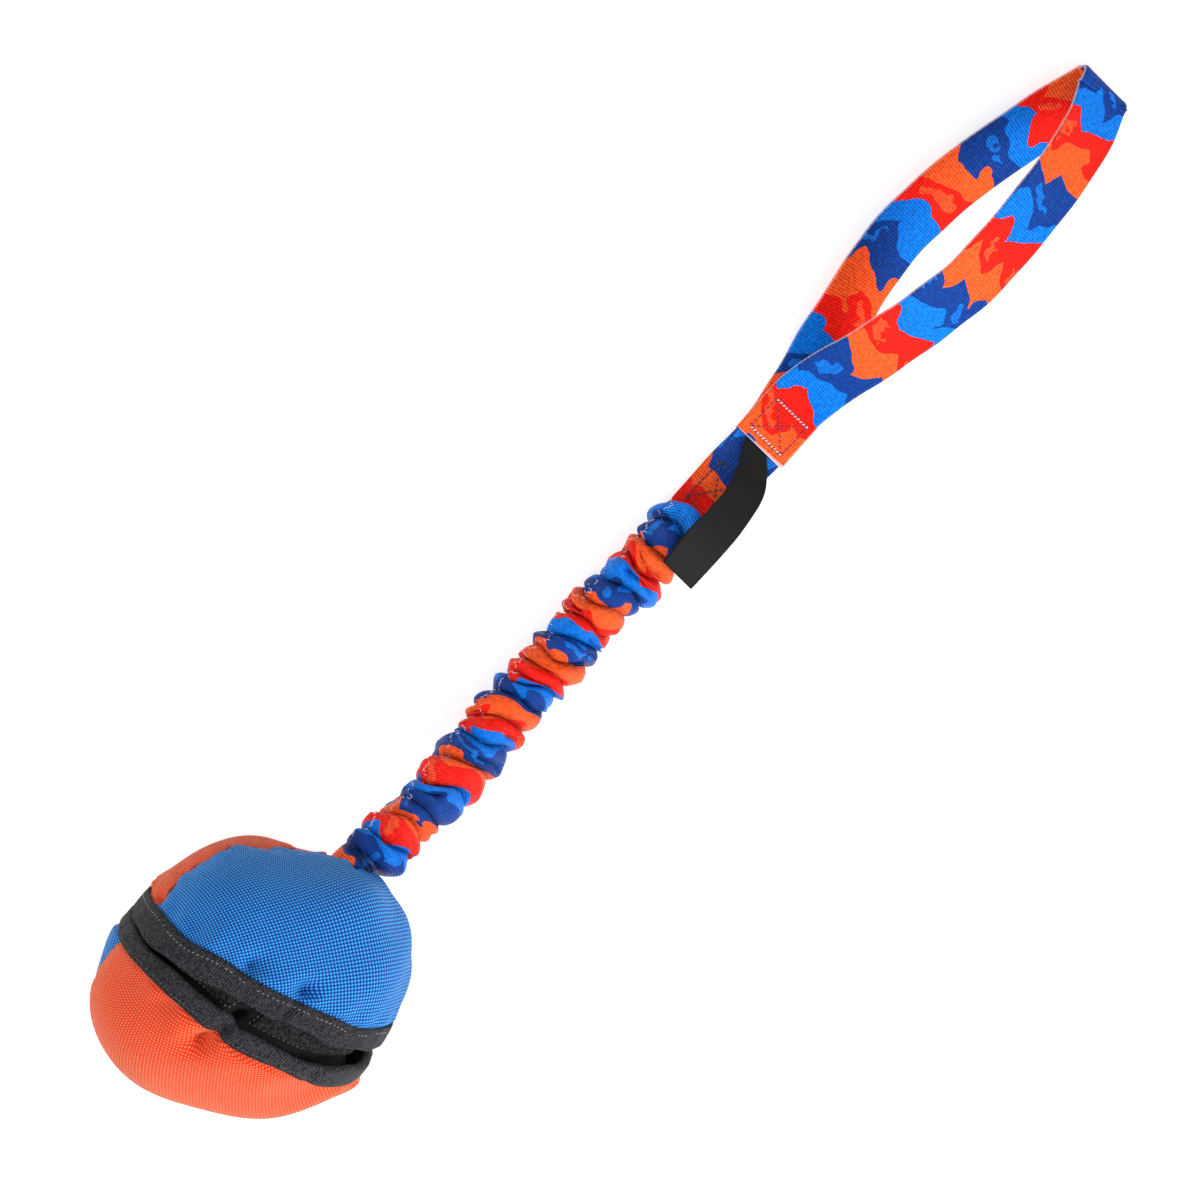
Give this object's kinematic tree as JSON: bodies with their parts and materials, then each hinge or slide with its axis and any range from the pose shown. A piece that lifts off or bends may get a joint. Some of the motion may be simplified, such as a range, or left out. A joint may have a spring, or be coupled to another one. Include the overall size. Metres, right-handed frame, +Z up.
{
  "type": "bungee tug toy",
  "caption": "Fabric tug toy: an openable two-part treat ball with a hook-and-pile mouth, a gathered bungee sleeve and a webbing loop handle with a plain label tab.",
  "frame": {"origin": "centre of the ball's flat resting patch, straight under the ball's centre", "axes": "+X along the bungee from the ball to the handle, +Z up from the surface it lies on, +Y to the left"},
  "size_m": [0.5569, 0.1146, 0.1129],
  "materials": {
    "blue_fabric": "coated oxford weave, satin sheen",
    "orange_fabric": "coated oxford weave, satin sheen",
    "foam": "matte foam sheet",
    "black_lining": "plain black lining cloth",
    "black_binding": "fine twill tape, soft sheen",
    "grey_thread": "twisted sewing thread",
    "hook_and_pile": "rough hook and pile",
    "printed_webbing": "printed ribbed webbing in navy, blue, red and orange",
    "elastic_rubber": "natural rubber strands",
    "cord_braid": "braided cord jacket",
    "dark_thread": "twisted sewing thread",
    "label_rubber": "smooth matte rubber"
  },
  "bodies": {
    "near_half": {"near_front_gore": "blue_fabric", "near_back_gore": "orange_fabric", "near_padding": "foam", "near_lining": "black_lining", "near_lip_binding": "black_binding", "near_binding_thread": "grey_thread", "hook_strip_left": "hook_and_pile", "hook_strip_right": "hook_and_pile", "hinge_tape": "black_binding"},
    "far_half": {"far_front_gore": "orange_fabric", "far_back_gore": "blue_fabric", "far_padding": "foam", "far_lining": "black_lining", "far_lip_binding": "black_binding", "far_binding_thread": "grey_thread", "closure_flap": "black_lining", "pile_strip_left": "hook_and_pile", "pile_strip_right": "hook_and_pile", "pile_stitching_left": "grey_thread", "pile_stitching_right": "grey_thread"},
    "neck": {"anchor_stitching": "dark_thread"},
    "bungee": {"bungee_sleeve": "printed_webbing", "cord_rubber": "elastic_rubber", "cord_jacket": "cord_braid"},
    "bungee_end": {"sleeve_box_stitch": "dark_thread"},
    "handle": {"handle_strap": "printed_webbing", "handle_box_stitch": "dark_thread"},
    "label": {"label_tab": "label_rubber"}
  },
  "joints": [
    {"name": "mouth_hinge", "type": "hinge", "parent": "near_half", "child": "far_half", "pos_m": [-0.01042, 0.0525, 0.04973], "axis": [0.259, -0.0414, -0.965], "range_deg": [-4, 75], "deforming": ["hinge_tape"]},
    {"name": "neck_swing", "type": "hinge", "parent": "near_half", "child": "neck", "pos_m": [0.0585, 0.0016, 0.0462], "axis": [0, 0, 1], "range_deg": [-60, 60]},
    {"name": "neck_lift", "type": "hinge", "parent": "neck", "child": "bungee", "pos_m": [0.0585, 0.0016, 0.0462], "axis": [0, -1, 0], "range_deg": [-35, 80]},
    {"name": "bungee_stretch", "type": "slide", "parent": "bungee", "child": "bungee_end", "axis": [1, 0, 0], "range_m": [0, 0.12], "stiffness_N_per_m": 150, "deforming": ["bungee_sleeve", "cord_jacket", "cord_rubber"]},
    {"name": "handle_fold", "type": "hinge", "parent": "bungee_end", "child": "handle", "pos_m": [0.29, 0.00145, 0.0051], "axis": [0, -1, 0], "range_deg": [-75, 75]},
    {"name": "label_flap", "type": "hinge", "parent": "bungee_end", "child": "label", "pos_m": [0.29, 0.00145, 0.0051], "axis": [0, 1, 0], "range_deg": [0, 28]}
  ]
}
